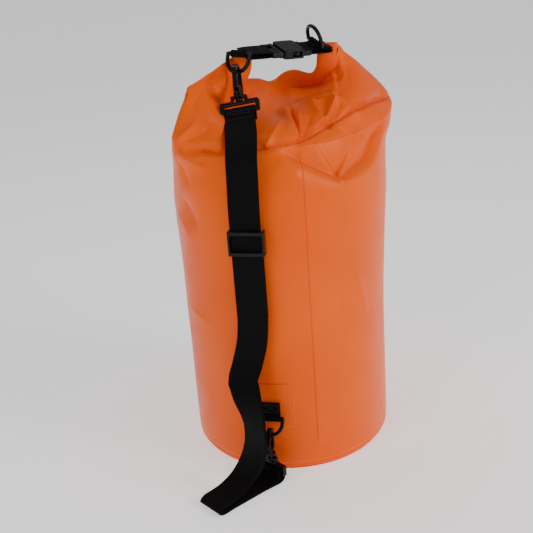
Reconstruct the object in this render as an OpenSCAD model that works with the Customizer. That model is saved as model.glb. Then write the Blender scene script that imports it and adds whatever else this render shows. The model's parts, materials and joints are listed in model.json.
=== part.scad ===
// Roll-top dry bag: a welded tube of coated fabric with a round base. Its mouth is rolled down and its
// ends are buckled into a carrying loop. A shoulder strap runs from a ring at the loop to a ring low
// on the bag.
// Millimetres. Origin at the middle of the base, +Z up, +X along the closure from plug to socket.

/* [Bag] */
// Radius of the filled tube
bag_r = 135; // [130:1:140]
// Thickness of the coated fabric
fabric_t = 1; // [0.8:0.1:1.4]

/* [Closure] */
// Height of the buckle above the floor
handle_z = 526; // [524:1:528]
// Width of the closure webbing
closure_w = 25; // [24:1:25]
// How far the plug backs out of the socket while its arms are squeezed
release_travel = 4.5; // [4:0.5:4.5]

/* [Shoulder strap] */
// Width of the shoulder webbing
strap_w = 38; // [36:1:38]
// Thickness of the webbing
web_t = 1.6; // [1.4:0.1:1.6]
// Height of the slider's centre
slider_z = 326; // [320:1:330]
// Direction of the strap round the bag, from the front towards the left
strap_turn = -45; // [-50:1:-40]

/* [Rings] */
// Radius of the rings' wire
wire_r = 2.5; // [2.3:0.1:2.5]
// Distance from a ring's bar to the middle of its bow
ring_drop = 22; // [21.5:0.5:22.5]

/* [Hidden] */
$fn = 48;
orange = "#e8641c";
black = "#1b1b1b";
gap = 0.3;

// ---------- helpers: smooth rows, swept ribbons, rounded plates ----------

function mix(a, b, t) = a + (b - a) * t;

// Catmull-Rom value between the rows p[i] and p[i + 1]
function spline(p, i, t) = let (n = len(p) - 1, a = p[max(i - 1, 0)], b = p[i], c = p[min(i + 1, n)],
    d = p[min(i + 2, n)])
    0.5 * (2 * b + (c - a) * t + (2 * a - 5 * b + 4 * c - d) * t * t
        + (3 * b - a - 3 * c + d) * t * t * t);

// Every row of p with steps - 1 rows between each pair
function smooth(p, steps) = [for (i = [0 : len(p) - 2], k = [0 : steps - 1]) spline(p, i, k / steps),
    p[len(p) - 1]];

function unit(v) = v / norm(v);

// Faces of a tube of rings with n points each, its ends closed by the triangles in cap
function tube_faces(n, rings, cap) = concat(
    [for (i = [0 : rings - 2], k = [0 : n - 1]) let (a = i * n + k, b = i * n + (k + 1) % n)
        each [[a, b + n, b], [a, a + n, b + n]]],
    cap, [for (f = cap) let (o = (rings - 1) * n) [o + f[0], o + f[2], o + f[1]]]);

// A section of [along the width, along the normal] swept along rows of [x, y, z, wx, wy, wz],
// where the last three give the direction of the width
module sweep(rows, section, cap) {
    n = len(rows);
    at = [for (r = rows) [r[0], r[1], r[2]]];
    ring = [for (i = [0 : n - 1])
        let (fore = unit(at[min(i + 1, n - 1)] - at[max(i - 1, 0)]),
            raw = [rows[i][3], rows[i][4], rows[i][5]],
            side = unit(raw - fore * (raw * fore)), up = cross(fore, side))
        each [for (c = section) at[i] + side * c[0] + up * c[1]]];
    polyhedron(ring, tube_faces(len(section), n, cap), convexity = 6);
}

module ribbon(rows, w, t) {
    sweep(rows, [[-w / 2, -t / 2], [w / 2, -t / 2], [w / 2, t / 2], [-w / 2, t / 2]],
        [[0, 1, 2], [0, 2, 3]]);
}

// The same rows moved by d along the strap's own normal
function beside(rows, d) = let (n = len(rows)) [for (i = [0 : n - 1])
    let (p = [rows[i][0], rows[i][1], rows[i][2]], q = rows[min(i + 1, n - 1)], o = rows[max(i - 1, 0)],
        fore = unit([q[0] - o[0], q[1] - o[1], q[2] - o[2]]), raw = [rows[i][3], rows[i][4], rows[i][5]],
        up = cross(fore, unit(raw - fore * (raw * fore))), m = p + up * d)
    [m[0], m[1], m[2], raw[0], raw[1], raw[2]]];

module rounded_plate(x, y, h, r) {
    linear_extrude(h, center = true) {
        square([x - 2 * r, y], center = true);
        square([x, y - 2 * r], center = true);
        for (sx = [-1, 1], sy = [-1, 1]) translate([sx * (x / 2 - r), sy * (y / 2 - r)]) circle(r);
    }
}

module along_x(r, l) { rotate([0, 90, 0]) cylinder(r = r, h = l, center = true); }
module along_y(r, l) { rotate([90, 0, 0]) cylinder(r = r, h = l, center = true); }

// Places children in the strap's frame: x across the strap, -y outwards, z up
module at_strap() { rotate([0, 0, strap_turn]) children(); }

// ---------- bag ----------

// Rows of the tube's outer surface: [z, half width, half depth, centre x, centre y, rise of the ends]
shell_rows = [[1.2, 129, 129, 0, 0, 0], [5, 132.5, 132.5, 0, 0, 0], [16, bag_r, bag_r, 0, 0, 0],
    [120, bag_r, bag_r, 0, 0, 0], [250, bag_r, bag_r, 0, 0, 0], [330, 138, 131, 1, 0, 0],
    [380, 147, 122, 5, -2, 0], [415, 157, 108, 11, -3, 3], [432, 159, 96, 14, -3, 6],
    [440, 150, 77, 16, -1, 10], [452, 134, 50, 17, 4, 14], [466, 112, 24, 18, 7, 18],
    [478, 96, 11, 19, 7, 20], [485, 84, 4, 19, 7, 20]];
shell_sides = 48;
least_half_depth = 1.2;

// One row's ring, drawn in by cut
function shell_ring(row, cut) = [for (k = [0 : shell_sides - 1]) let (u = 360 * k / shell_sides)
    [row[3] + (row[1] - cut) * cos(u), row[4] + max(row[2] - cut, least_half_depth) * sin(u),
        row[0] + row[5] * pow(cos(u), 4)]];

// Closes a ring of n points, the first of which is number o, with strips from front to back
function strip_cap(n, o) = [for (k = [0 : n / 2 - 1])
    let (a = o + k, b = o + k + 1, c = o + (n - k - 1) % n, d = o + (n - k) % n)
    each (k == 0 ? [[a, b, c]] : k == n / 2 - 1 ? [[a, b, d]] : [[a, b, c], [a, c, d]])];

module bag_shell() {
    rows = smooth(shell_rows, 2);
    m = len(rows);
    n = shell_sides;
    outer = [for (r = rows) each shell_ring(r, 0)];
    inner = [for (i = [0 : m - 1]) each [for (p = shell_ring(rows[i], fabric_t))
        [p[0], p[1], p[2] - (i == 0 ? 0 : fabric_t * i / m)]]];
    outside = [for (i = [0 : m - 2], k = [0 : n - 1]) let (a = i * n + k, b = i * n + (k + 1) % n)
        each [[a, b + n, b], [a, a + n, b + n]]];
    inside = [for (f = outside) [f[0] + m * n, f[2] + m * n, f[1] + m * n]];
    rim = [for (k = [0 : n - 1]) let (a = k, b = (k + 1) % n)
        each [[a, b, b + m * n], [a, b + m * n, a + m * n]]];
    top_out = [for (f = strip_cap(n, (m - 1) * n)) [f[0], f[2], f[1]]];
    top_in = strip_cap(n, (2 * m - 1) * n);
    color(orange) polyhedron(concat(outer, inner), concat(outside, inside, rim, top_out, top_in),
        convexity = 8);
}

module base_disc() {
    color(orange) {
        cylinder(r = 131, h = 0.6);
        translate([0, 0, 0.6]) cylinder(r = 129, h = 0.6);
    }
}

// Route of the rolled mouth: [x, y, z, width direction], from the left end down the back to the right end
roll_route = [[-38, 2, 520, -0.85, 0.5, 0], [-37, 7, 508, -0.9, 0.4, 0], [-41, 24, 501, -1, 0.2, 0],
    [-46, 50, 484, -1, 0.5, -0.2], [-34, 70, 474, -0.6, 0.8, -0.4], [-8, 81, 468, -0.2, 0.8, -0.55],
    [17, 83, 466, 0, 0.8, -0.55], [44, 81, 468, 0.2, 0.8, -0.55], [76, 70, 474, 0.6, 0.8, -0.4],
    [91, 46, 485, 1, 0.4, -0.2], [88, 18, 499, 1, 0, 0], [82, -4, 506, 0.9, -0.4, 0],
    [79, -13, 514, 0.85, -0.5, 0]];
roll_steps = 6;
roll_w = 34;
roll_t = 8;
strip_slot = 2.4;

// Section of the roll: a C that holds the strip, open on the inner side of the bend
roll_section = [[-roll_w / 2, -roll_t / 2], [roll_w / 2, -roll_t / 2], [roll_w / 2, roll_t / 2],
    [-roll_w / 2, roll_t / 2], [-roll_w / 2, strip_slot / 2], [roll_w / 2 - 3, strip_slot / 2],
    [roll_w / 2 - 3, -strip_slot / 2], [-roll_w / 2, -strip_slot / 2]];
roll_cap = [[0, 1, 6], [0, 6, 7], [1, 2, 5], [1, 5, 6], [2, 3, 4], [2, 4, 5]];

module rolled_mouth() {
    color(orange) sweep(smooth(roll_route, roll_steps), roll_section, roll_cap);
}

module stiffener_strip() {
    rows = smooth(roll_route, roll_steps);
    color(black) ribbon(rows, 26, 1);
}

module patch() {
    color(orange) at_strap() intersection() {
        difference() {
            cylinder(r = bag_r + 1.8, h = 200);
            translate([0, 0, -1]) cylinder(r = bag_r + 0.6, h = 202);
        }
        translate([0, -bag_r, 98]) rotate([90, 0, 0]) rounded_plate(60, 64, 60, 8);
    }
}

// ---------- closure ----------

// Places along the closure
plug_bar_x = -12;
socket_bar_x = 38;
socket_mouth_x = 3;

// The closure's own frame: x along it, tilted down and turned a little
module at_handle() {
    translate([14, -14.5, handle_z]) rotate([0, 0, -2]) rotate([0, 3.7, 0]) rotate([16, 0, 0])
        translate([-13, 0, 0]) children();
}

function turned(p, a) = [p[0] * cos(a) - p[1] * sin(a), p[0] * sin(a) + p[1] * cos(a), p[2]];

// A webbing loop round a bar that lies along y, with both layers running off to +x
module bar_loop(x, reach, inner) {
    translate([x, 0, 0]) difference() {
        union() {
            along_y(inner + web_t, closure_w);
            translate([reach / 2, 0, 0]) cube([reach, closure_w, 2 * (inner + web_t)], center = true);
        }
        along_y(inner, closure_w + 1);
        translate([(reach - 2) / 2, 0, 0]) cube([reach - 2, closure_w + 1, 2 * inner], center = true);
    }
}

// The ring that carries the strap: the middle of its bar, its turn about z and how far it swings out
ring_bar = [-52, -13, handle_z + 5];
ring_turn = -66;
ring_swing = 20;
module at_ring() { translate(ring_bar) rotate([0, 0, ring_turn]) children(); }
ring_bow = ring_bar + turned([0, -ring_drop * sin(ring_swing), -ring_drop * cos(ring_swing)], ring_turn);
spare_bar = [57, 6.6];
plug_room = release_travel + 0.6;
left_loop_r = 2.3;
right_loop_r = 2.2;

// The room that a bar of radius r takes up as it runs back with the plug, l long
module bar_room(r, l) {
    for (x = [plug_bar_x, plug_bar_x - plug_room]) translate([x, 0, 0]) along_y(r, l);
    translate([plug_bar_x - plug_room / 2, 0, 0]) cube([plug_room, l, 2 * r], center = true);
}

module closure_webbing_left() {
    color(black) difference() {
        union() {
            at_handle() {
                difference() {
                    union() {
                        bar_room(left_loop_r + web_t, closure_w);
                        translate([-31, 0, 0])
                            cube([36, closure_w, 2 * (left_loop_r + web_t)], center = true);
                    }
                    bar_room(left_loop_r, closure_w + 1);
                }
                translate([-52, 0, 0]) cube([8, 19, 2 * (left_loop_r + web_t)], center = true);
            }
            at_ring() along_x(wire_r + gap + web_t, 20);
        }
        at_ring() along_x(wire_r + gap, 40);
    }
}

module closure_webbing_right() {
    color(black) at_handle() {
        bar_loop(socket_bar_x, 14, right_loop_r);
        translate([62, 0, 0]) cube([22, closure_w, 2 * (right_loop_r + web_t)], center = true);
        translate([spare_bar[0], 0, spare_bar[1]]) difference() {
            union() {
                along_y(wire_r + gap + web_t, 20);
                translate([0, 0, -2.8]) cube([16, 20, 1.8], center = true);
            }
            along_y(wire_r + gap, 30);
        }
    }
}

socket_l = 30;
socket_w = 34;
socket_h = 11;
throat_w = 25;
throat_h = 6.4;
window = [15, 28];

module buckle_socket() {
    color(black) at_handle() {
        difference() {
            translate([socket_mouth_x + socket_l / 2, 0, 0]) rounded_plate(socket_l, socket_w, socket_h, 4);
            translate([socket_mouth_x + 13, 0, 0]) cube([28, throat_w, throat_h], center = true);
            translate([(window[0] + window[1]) / 2, 0, 0])
                cube([window[1] - window[0], socket_w + 2, throat_h], center = true);
        }
        for (s = [-1, 1]) translate([37, s * 15, 0]) cube([10, 4, 6], center = true);
        translate([socket_bar_x, 0, 0]) along_y(1.9, 30);
    }
}

module buckle_plug() {
    color(black) at_handle() {
        translate([plug_bar_x, 0, 0]) along_y(2, 30);
        for (s = [-1, 1]) translate([-6.5, s * 14.8, 0]) cube([15, 3.6, 5.4], center = true);
        translate([-0.5, 0, 0]) cube([5, 32, 7], center = true);
        translate([8, 0, 0]) cube([14, 5, 4.4], center = true);
    }
}

arm_pivot = [3.6, 9.5];

module latch_arm() {
    translate([0, 0, -2.2]) linear_extrude(4.4) {
        translate(arm_pivot) circle(1.3);
        polygon([[3.6, 8.2], [24, 8.6], [26.5, 11], [26.5, 15.2], [21.2, 16.3], [16.2, 11.9], [3.6, 10.8]]);
    }
}

module latch_arm_back() { color(black) at_handle() latch_arm(); }
module latch_arm_front() { color(black) at_handle() mirror([0, 1, 0]) latch_arm(); }

// ---------- rings ----------

// Bar on the x axis, bow hanging below it
module d_ring() {
    half = 15.5;
    straight = ring_drop - half;
    along_x(wire_r, 2 * half);
    for (s = [-1, 1]) translate([s * half, 0, 0]) {
        sphere(wire_r);
        translate([0, 0, -straight]) cylinder(r = wire_r, h = straight);
    }
    translate([0, 0, -straight]) rotate([-90, 0, 0])
        rotate_extrude(angle = 180) translate([half, 0]) circle(wire_r);
}

lower_bar = [0, -142, 84];
lower_tilt = 35;
lower_bow = [0, lower_bar[1] - ring_drop * sin(lower_tilt), lower_bar[2] - ring_drop * cos(lower_tilt)];

module strap_ring() { color(black) at_ring() rotate([-ring_swing, 0, 0]) d_ring(); }
module lower_ring() { color(black) at_strap() translate(lower_bar) rotate([-lower_tilt, 0, 0]) d_ring(); }
spare_lean = 20;
module spare_ring() {
    color(black) at_handle() translate([spare_bar[0], 0, spare_bar[1]])
        rotate([0, -spare_lean, 0]) rotate([180, 0, 90]) d_ring();
}

module lower_tab() {
    color(black) at_strap() difference() {
        union() {
            translate(lower_bar) along_x(wire_r + gap + web_t, 24);
            translate([0, -139, 94]) cube([closure_w, 4, 20], center = true);
        }
        translate(lower_bar) along_x(wire_r + gap, 40);
    }
}

// ---------- swivel hooks: heights are above the middle of the webbing slot ----------

hook_t = 6;
eye_r = 8;
bow_h = 44;
bight_h = bow_h + wire_r + 3.2 - eye_r;
arch_top = 14;
stem_r = 3.2;
gate_root = [-9.6, 25.6];

module swivel_eye() {
    rotate([90, 0, 0]) linear_extrude(6, center = true) difference() {
        union() {
            square([44, 15], center = true);
            for (sx = [-1, 1]) translate([sx * 22, 0]) {
                square([5, 10], center = true);
                for (sy = [-1, 1]) translate([0, sy * 5]) circle(2.5);
            }
            translate([-10, 5]) square([20, arch_top - 5]);
        }
        square([40, 5.6], center = true);
        translate([-7, 6]) square([14, 5]);
    }
}

module bored_swivel_eye() {
    difference() {
        union() {
            swivel_eye();
            translate([0, 0, 11]) cylinder(r = 6.6, h = arch_top - 11);
        }
        translate([0, 0, 10]) cylinder(r = stem_r + 0.08, h = 6);
    }
}

// Hook in the yz plane, spine on the +y side, nose and gate on the -y side
module snap_hook() {
    difference() {
        union() {
            rotate([90, 0, 90]) linear_extrude(hook_t, center = true) {
                difference() {
                    translate([0, bight_h]) circle(eye_r + 4);
                    translate([0, bight_h]) circle(eye_r);
                    translate([-20, bight_h - 20]) square([40, 20]);
                }
                translate([eye_r, 21]) square([4, bight_h - 21]);
                translate([-eye_r - 4, bight_h - 2]) square([4, 2]);
                polygon([[-12, 25.5], [12, 25.5], [12, 21.5], [6, 18], [-6, 18], [-12, 21.5]]);
            }
            translate([0, 0, arch_top + 0.3]) cylinder(r = 6, h = 4.5);
            translate([0, 0, 9]) cylinder(r = stem_r, h = 8);
            translate([0, 0, 7]) cylinder(r = 4.4, h = 3.6);
        }
        translate([0, gate_root[0], gate_root[1]]) along_x(2.1, 20);
    }
}

module gate() {
    translate([0, gate_root[0], gate_root[1]]) along_x(1.8, 5.6);
    translate([0, gate_root[0] - 0.2, (gate_root[1] + bight_h - 2.5) / 2])
        cube([5.6, 2.4, bight_h - 2.5 - gate_root[1]], center = true);
}

upper_lean = [-30, -9, 0];
module at_upper_hook() {
    translate(ring_bow) rotate([0, 0, strap_turn]) rotate(upper_lean) translate([0, 0, -bow_h]) children();
}
lower_slot = lower_bow - [0, 0, bow_h];
lower_eye_turn = -35;
module at_lower_hook() { at_strap() translate(lower_slot) children(); }

module upper_hook() { color(black) at_upper_hook() snap_hook(); }
module upper_gate() { color(black) at_upper_hook() gate(); }
module upper_swivel_eye() { color(black) at_upper_hook() bored_swivel_eye(); }
module lower_hook() { color(black) at_lower_hook() snap_hook(); }
module lower_gate() { color(black) at_lower_hook() gate(); }
module lower_swivel_eye() {
    color(black) at_lower_hook() rotate([0, 0, lower_eye_turn]) bored_swivel_eye();
}

// ---------- shoulder strap, in the strap's frame ----------

strap_x = -12;
strap_y = -147;

function leaned(p) = let (a = upper_lean[0], b = upper_lean[1], q = [p[0], p[1] * cos(a) - p[2] * sin(a),
    p[1] * sin(a) + p[2] * cos(a)]) [q[0] * cos(b) + q[2] * sin(b), q[1], q[2] * cos(b) - q[0] * sin(b)];
upper_slot = turned(ring_bow, -strap_turn) + leaned([0, 0, -bow_h]);

// Rows round an eye's lower bar, from [y, z] in the eye's own frame
wrap_in = [[4.6, -12], [4.2, -6.5], [4, -3], [2.9, -1.5], [0.3, -1.4]];
wrap_out = [[-2.9, -1.5], [-4, -3], [-4.2, -6.5]];
upper_wrap = [for (p = concat(wrap_in, wrap_out))
    concat(upper_slot + leaned([0, p[0], p[1]]), leaned([1, 0, 0]))];
function lower_row(p) = concat(lower_slot + turned([0, p[0], p[1]], lower_eye_turn),
    turned([1, 0, 0], lower_eye_turn));

// The outer run, by hand: it starts behind the upper eye's lower bar, hangs over the shoulder and through
// the slider, folds on the floor and ends on the lower eye's lower bar. [x, y, z, direction of the width]
hanging = [[-22.5, -89, 461, 1, 0, 0.1], [-18, -105.5, 453, 1, 0, 0], [-14, -124.8, 441.5, 1, 0, 0],
    [-12.5, -137.2, 424, 1, 0, 0], [-12, -142, 400, 1, 0, 0], [strap_x, -145.6, 374, 1, 0, 0],
    [strap_x, strap_y, 352, 1, 0, 0], [strap_x, strap_y, 340, 1, 0, 0],
    [strap_x, strap_y, 240, 1, 0, 0], [strap_x, strap_y, 225, 1, 0, 0],
    [-15, -147.5, 196, 1, 0, 0], [-22, -151, 165, 1, 0, 0.05], [-27, -162, 143, 1, -0.1, 0.15],
    [-20, -177, 122, 0.9, -0.35, 0.1], [-12, -184, 95, 0.81, -0.58, 0], [-13, -184, 68, 0.81, -0.58, 0],
    [-20, -184, 45, 0.81, -0.58, 0], [-32, -190, 26, 0.81, -0.58, 0.1],
    [-44, -202, 15.5, 0.81, -0.58, 0.05], [-54, -215.5, 12.6, 0.81, -0.58, 0],
    [-61, -225, 11.9, 0.81, -0.58, 0], [-65, -230.5, 6.6, 0.81, -0.58, 0],
    [-61, -225, 1.4, 0.81, -0.58, 0], [-50, -210, 1.2, 0.81, -0.58, 0], [-34, -190, 1.2, 0.81, -0.58, 0],
    [-18, -170, 1.3, 0.81, -0.58, 0], [-3, -155.5, 3.6, 0.81, -0.58, 0]];
outer_route = concat(upper_wrap, hanging, [for (p = wrap_in) lower_row(p)]);
route_steps = 3;
// Number of the outer run's row where the inner run starts
straight_from = len(upper_wrap) + 8;

module webbing_outer_run() {
    color(black) at_strap() ribbon(smooth(outer_route, route_steps), strap_w, web_t);
}

// Distance between the two runs' middles
layer = 2.6;
inner_end = concat([[-12, -168, 5.6, 0.81, -0.58, 0]],
    [for (p = [[-5.4, -11], [-4.2, -6.5], [-4, -3], [-2.9, -1.5], [-0.9, -1.4]]) lower_row(p)]);

module webbing_inner_run() {
    rows = smooth(outer_route, route_steps);
    last = (len(upper_wrap) + len(hanging) - 3) * route_steps;
    lined = beside([for (i = [straight_from * route_steps : last]) rows[i]], -layer);
    color(black) at_strap() ribbon(concat(lined, smooth(inner_end, route_steps)), strap_w, web_t);
}

// The sewn end: a loop round the slider's middle bar and its tail, which lies behind the inner run
bar_y = 5;
tail_y = 5.2;
tail_l = 100;
sewn_loop_r = 2;

module webbing_sewn_end() {
    color(black) at_strap() translate([strap_x, strap_y, slider_z]) {
        difference() {
            union() {
                translate([0, bar_y, 0]) along_x(sewn_loop_r + web_t, strap_w);
                translate([0, tail_y, -tail_l / 2]) cube([strap_w, web_t, tail_l], center = true);
            }
            translate([0, bar_y, 0]) along_x(sewn_loop_r, strap_w + 1);
        }
    }
}

module slider() {
    color(black) at_strap() translate([strap_x, strap_y, slider_z]) {
        for (s = [-1, 1]) {
            translate([0, -2.6, s * 13]) cube([44, 2.6, 5], center = true);
            translate([s * 20.8, 1.6, 0]) cube([2.8, 11, 31], center = true);
        }
        translate([0, bar_y, 0]) along_x(1.8, 41);
    }
}

bag_shell();
base_disc();
rolled_mouth();
stiffener_strip();
closure_webbing_left();
closure_webbing_right();
buckle_socket();
buckle_plug();
latch_arm_front();
latch_arm_back();
strap_ring();
spare_ring();
lower_ring();
upper_hook();
upper_gate();
upper_swivel_eye();
lower_hook();
lower_gate();
lower_swivel_eye();
slider();
webbing_sewn_end();
webbing_outer_run();
webbing_inner_run();
patch();
lower_tab();
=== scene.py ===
import json
import math

import bpy
import numpy as np
from mathutils import Matrix, Vector


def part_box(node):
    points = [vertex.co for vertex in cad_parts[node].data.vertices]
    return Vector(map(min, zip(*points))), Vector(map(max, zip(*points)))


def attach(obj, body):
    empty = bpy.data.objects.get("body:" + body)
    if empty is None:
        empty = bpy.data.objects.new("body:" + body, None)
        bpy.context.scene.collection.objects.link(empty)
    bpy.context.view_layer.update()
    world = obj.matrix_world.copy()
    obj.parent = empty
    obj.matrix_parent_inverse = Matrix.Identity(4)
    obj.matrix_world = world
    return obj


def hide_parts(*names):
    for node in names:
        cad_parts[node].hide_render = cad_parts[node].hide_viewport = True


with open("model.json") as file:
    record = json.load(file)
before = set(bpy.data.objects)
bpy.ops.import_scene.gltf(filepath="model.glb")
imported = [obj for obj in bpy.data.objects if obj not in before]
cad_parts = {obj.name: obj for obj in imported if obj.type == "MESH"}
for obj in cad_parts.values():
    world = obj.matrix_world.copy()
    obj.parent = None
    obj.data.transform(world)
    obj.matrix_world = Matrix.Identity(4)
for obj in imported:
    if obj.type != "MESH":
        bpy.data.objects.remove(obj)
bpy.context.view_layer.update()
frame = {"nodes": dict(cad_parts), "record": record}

MM = 0.001
# Millimetres of webbing to one unit of its UVs
UV_MM = 100
scene = bpy.context.scene


# ---------- camera ----------

CAMERA_PLACE = Vector((-0.6145, -0.9402, 0.696))
CAMERA_HEADING, CAMERA_PITCH, CAMERA_ROLL = -32, 22.2, -4.25
CAMERA_LENS, CAMERA_SENSOR = 60.1, 36


def make_camera():
    """The camera stands off the bag's front left and looks down at it."""
    heading = math.radians(CAMERA_HEADING)
    pitch = math.radians(CAMERA_PITCH)
    roll = math.radians(CAMERA_ROLL)
    right = Vector((math.cos(heading), math.sin(heading), 0))
    level = Vector((-math.sin(heading), math.cos(heading), 0))
    ahead = level * math.cos(pitch) - Vector((0, 0, math.sin(pitch)))
    up = right.cross(ahead)
    x = right * math.cos(roll) + up * math.sin(roll)
    y = up * math.cos(roll) - right * math.sin(roll)
    data = bpy.data.cameras.new("camera")
    data.lens = CAMERA_LENS
    data.sensor_width = CAMERA_SENSOR
    data.clip_start = 0.05
    cam = bpy.data.objects.new("camera", data)
    cam.matrix_world = Matrix.Translation(CAMERA_PLACE) @ Matrix((x, y, -ahead)).transposed().to_4x4()
    scene.collection.objects.link(cam)
    scene.camera = cam


make_camera()


# ---------- small helpers ----------

def unit(v):
    return v / np.maximum(np.linalg.norm(v, axis=-1, keepdims=True), 1e-12)


def distances(points):
    """Distance along a line of points from its first one."""
    return np.concatenate([[0], np.cumsum(np.linalg.norm(np.diff(points, axis=0), axis=1))])


def mesh_piece(name, verts, faces, material, body, uvs=None):
    """A smooth-shaded piece on a body, from corners in metres. The UVs are given by corner."""
    mesh = bpy.data.meshes.new(name)
    mesh.from_pydata([tuple(v) for v in verts], [], [tuple(int(i) for i in f) for f in faces])
    if uvs is not None:
        layer = mesh.uv_layers.new(name="UVMap")
        for loop in mesh.loops:
            layer.data[loop.index].uv = uvs[loop.vertex_index]
    mesh.polygons.foreach_set("use_smooth", [True] * len(mesh.polygons))
    mesh.materials.append(material)
    piece = bpy.data.objects.new(name, mesh)
    scene.collection.objects.link(piece)
    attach(piece, body)
    return piece


def smooth_rows(rows, steps):
    """The given rows with Catmull-Rom rows between them."""
    rows = np.array(rows, float)
    out = []
    n = len(rows) - 1
    for i in range(n):
        a, b, c, d = rows[max(i - 1, 0)], rows[i], rows[min(i + 1, n)], rows[min(i + 2, n)]
        for k in range(steps):
            t = k / steps
            out.append(0.5 * (2 * b + (c - a) * t + (2 * a - 5 * b + 4 * c - d) * t * t
                              + (3 * b - a - 3 * c + d) * t ** 3))
    out.append(rows[-1])
    return np.array(out)


def strip_frames(rows):
    """Points, width directions and normals along rows of [x, y, z, and the direction of the width]."""
    at = rows[:, :3]
    fore = unit(np.vstack([at[1:2] - at[:1], at[2:] - at[:-2], at[-1:] - at[-2:-1]]))
    raw = rows[:, 3:6]
    side = unit(raw - fore * np.sum(raw * fore, axis=1, keepdims=True))
    return at, side, np.cross(fore, side)


def turn_z(v, degrees):
    a = math.radians(degrees)
    v = np.array(v, float)
    x, y = v[..., 0].copy(), v[..., 1].copy()
    v[..., 0], v[..., 1] = x * math.cos(a) - y * math.sin(a), x * math.sin(a) + y * math.cos(a)
    return v


def turn_rows(rows, degrees):
    return np.hstack([turn_z(rows[:, :3], degrees), turn_z(rows[:, 3:6], degrees)])


def strap_section(width, thick):
    """Closed outline of a woven strap: flat faces, rounded and slightly thicker selvages."""
    h, w = thick / 2, width / 2
    selvage, shoulder, parts = 2.2, 3.2, 6
    face, ridge = 0.92 * h, 1.05 * h
    half = [(-w + 0.2 * h, 0.75 * h), (-w + 0.8 * h, ridge), (-w + selvage, ridge), (-w + shoulder, face)]
    inner = [(-w + shoulder + (w - shoulder) * 2 * k / parts, face) for k in range(1, parts)]
    right = [(-x, y) for x, y in reversed(half)]
    top = half + inner + right
    return [(-w, 0)] + top + [(w, 0)] + [(x, -y) for x, y in reversed(top)]


def grid_faces(rows, columns):
    """Faces of a surface whose rows are closed rings."""
    faces = []
    for i in range(rows - 1):
        for k in range(columns):
            a, b = i * columns + k, i * columns + (k + 1) % columns
            faces.append((a, b, b + columns, a + columns))
    return faces


def sweep(name, rows, section, material, body):
    """Sweeps a closed section along rows, in mm, with both ends closed. The UVs are its width and length."""
    at, side, up = strip_frames(rows)
    n, m = len(rows), len(section)
    sec = np.array(section)
    verts = (at[:, None] + side[:, None] * sec[None, :, :1] + up[:, None] * sec[None, :, 1:]).reshape(-1, 3)
    faces = [(a, d, c, b) for a, b, c, d in grid_faces(n, m)]
    faces.append(tuple(range(m)))
    faces.append(tuple(reversed(range((n - 1) * m, n * m))))
    along = distances(at)
    uvs = [(sec[k, 0] / UV_MM, along[i] / UV_MM) for i in range(n) for k in range(m)]
    return mesh_piece(name, verts * MM, faces, material, body, uvs=uvs)


# ---------- materials ----------

def new_material(name):
    """A material with its node tree and its shader's inputs."""
    mat = bpy.data.materials.new(name)
    mat.use_nodes = True
    return mat, mat.node_tree, mat.node_tree.nodes["Principled BSDF"].inputs


def grey(level, blue=1.0):
    return (level, level, level * blue, 1)


def maths(tree, operation, a, b=None):
    """One step of arithmetic, on values or on other nodes' outputs."""
    node = tree.nodes.new("ShaderNodeMath")
    node.operation = operation
    for i, v in enumerate((a, b)):
        if v is None:
            continue
        if isinstance(v, (int, float)):
            node.inputs[i].default_value = v
        else:
            tree.links.new(v, node.inputs[i])
    return node.outputs[0]


def ramp(tree, source, *stops):
    """Colours blended between two stops, each a position and its colour."""
    node = tree.nodes.new("ShaderNodeValToRGB")
    for element, (position, color) in zip(node.color_ramp.elements, stops):
        element.position = position
        element.color = color
    tree.links.new(source, node.inputs[0])
    return node.outputs[0]


def noise_tex(tree, coords, scale, detail=3.0, rough=0.5, distortion=0.0):
    node = tree.nodes.new("ShaderNodeTexNoise")
    node.inputs["Scale"].default_value = scale
    node.inputs["Detail"].default_value = detail
    node.inputs["Roughness"].default_value = rough
    node.inputs["Distortion"].default_value = distortion
    tree.links.new(coords, node.inputs["Vector"])
    return node.outputs[0]


def wave_tex(tree, coords, scale, direction):
    node = tree.nodes.new("ShaderNodeTexWave")
    node.inputs["Scale"].default_value = scale
    node.inputs["Distortion"].default_value = 0.4
    node.bands_direction = direction
    tree.links.new(coords, node.inputs["Vector"])
    return node.outputs["Fac"]


def bump(tree, height, strength, distance, normal=None):
    node = tree.nodes.new("ShaderNodeBump")
    node.inputs["Strength"].default_value = strength
    node.inputs["Distance"].default_value = distance
    tree.links.new(height, node.inputs["Height"])
    if normal is not None:
        tree.links.new(normal, node.inputs["Normal"])
    return node.outputs[0]


def coated_fabric(name, lit, deep, rough):
    """PVC-coated cloth: a smooth film, the scrim's fine grid showing through it, and handling creases."""
    mat, tree, shader = new_material(name)
    coords = tree.nodes.new("ShaderNodeTexCoord").outputs["Object"]
    broad = noise_tex(tree, coords, scale=9, detail=2)
    fine = noise_tex(tree, coords, scale=120, detail=4, rough=0.6)
    creases = noise_tex(tree, coords, scale=26, detail=5, rough=0.62, distortion=0.6)
    tree.links.new(ramp(tree, broad, (0.3, deep), (0.7, lit)), shader["Base Color"])
    warp = wave_tex(tree, coords, scale=260, direction="Z")
    weft = wave_tex(tree, coords, scale=260, direction="DIAGONAL")
    weave = maths(tree, "MULTIPLY", warp, weft)
    normal = bump(tree, weave, strength=0.05, distance=0.0004)
    normal = bump(tree, fine, strength=0.06, distance=0.0006, normal=normal)
    normal = bump(tree, creases, strength=0.10, distance=0.003, normal=normal)
    tree.links.new(normal, shader["Normal"])
    dull = ramp(tree, creases, (0.3, grey(rough - 0.05)), (0.75, grey(rough + 0.12)))
    tree.links.new(dull, shader["Roughness"])
    shader["Specular IOR Level"].default_value = 0.26
    shader["Specular Tint"].default_value = (1.0, 0.5, 0.24, 1)
    return mat


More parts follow.
